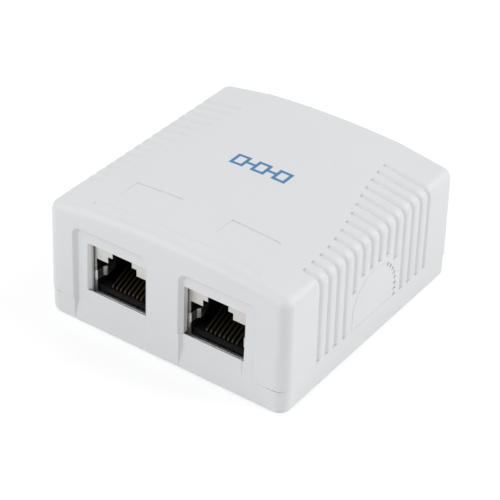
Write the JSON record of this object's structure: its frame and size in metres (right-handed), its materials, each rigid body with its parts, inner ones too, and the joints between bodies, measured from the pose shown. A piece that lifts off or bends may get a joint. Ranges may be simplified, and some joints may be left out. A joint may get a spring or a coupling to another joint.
{
  "type": "surface mount jack box",
  "caption": "Shielded surface mount jack box: a low crowned white housing with front network sockets, grooved sides and breakaway cable knockouts; the cover lifts off a screw-down base",
  "frame": {"origin": "middle of the flat underside of the base, which lies on the wall or desk", "axes": "+Z out of the wall through the crowned top, -Y out of the sockets, +X to the right when the sockets face the viewer"},
  "size_m": [0.058, 0.061, 0.0282],
  "materials": {
    "white_plastic": "fine satin moulded ABS",
    "green_board": "solder mask",
    "plated_steel": "zinc plated",
    "shield_metal": "plated sheet",
    "black_plastic": "moulded",
    "pale_plastic": "moulded",
    "gold_plate": "gold plated wire",
    "tin_plate": "tin plated sheet"
  },
  "bodies": {
    "base_body": {"base": "white_plastic", "circuit_board": "green_board", "board_screws": "plated_steel", "left_jack_shield": "shield_metal", "left_jack_housing": "black_plastic", "left_contact_carrier": "black_plastic", "left_idc_block": "pale_plastic", "left_ground_clip": "shield_metal", "left_jack_contact_1": "gold_plate", "left_idc_terminal_1": "tin_plate", "left_jack_contact_2": "gold_plate", "left_idc_terminal_2": "tin_plate", "left_jack_contact_3": "gold_plate", "left_idc_terminal_3": "tin_plate", "left_jack_contact_4": "gold_plate", "left_idc_terminal_4": "tin_plate", "left_jack_contact_5": "gold_plate", "left_idc_terminal_5": "tin_plate", "left_jack_contact_6": "gold_plate", "left_idc_terminal_6": "tin_plate", "left_jack_contact_7": "gold_plate", "left_idc_terminal_7": "tin_plate", "left_jack_contact_8": "gold_plate", "left_idc_terminal_8": "tin_plate", "right_jack_shield": "shield_metal", "right_jack_housing": "black_plastic", "right_contact_carrier": "black_plastic", "right_idc_block": "pale_plastic", "right_ground_clip": "shield_metal", "right_jack_contact_1": "gold_plate", "right_idc_terminal_1": "tin_plate", "right_jack_contact_2": "gold_plate", "right_idc_terminal_2": "tin_plate", "right_jack_contact_3": "gold_plate", "right_idc_terminal_3": "tin_plate", "right_jack_contact_4": "gold_plate", "right_idc_terminal_4": "tin_plate", "right_jack_contact_5": "gold_plate", "right_idc_terminal_5": "tin_plate", "right_jack_contact_6": "gold_plate", "right_idc_terminal_6": "tin_plate", "right_jack_contact_7": "gold_plate", "right_idc_terminal_7": "tin_plate", "right_jack_contact_8": "gold_plate", "right_idc_terminal_8": "tin_plate"},
    "cover_body": {"cover": "white_plastic"}
  },
  "joints": [
    {"name": "cover_lift", "type": "slide", "parent": "base_body", "child": "cover_body", "axis": [0, 0, 1], "range_m": [0, 0.03]}
  ]
}
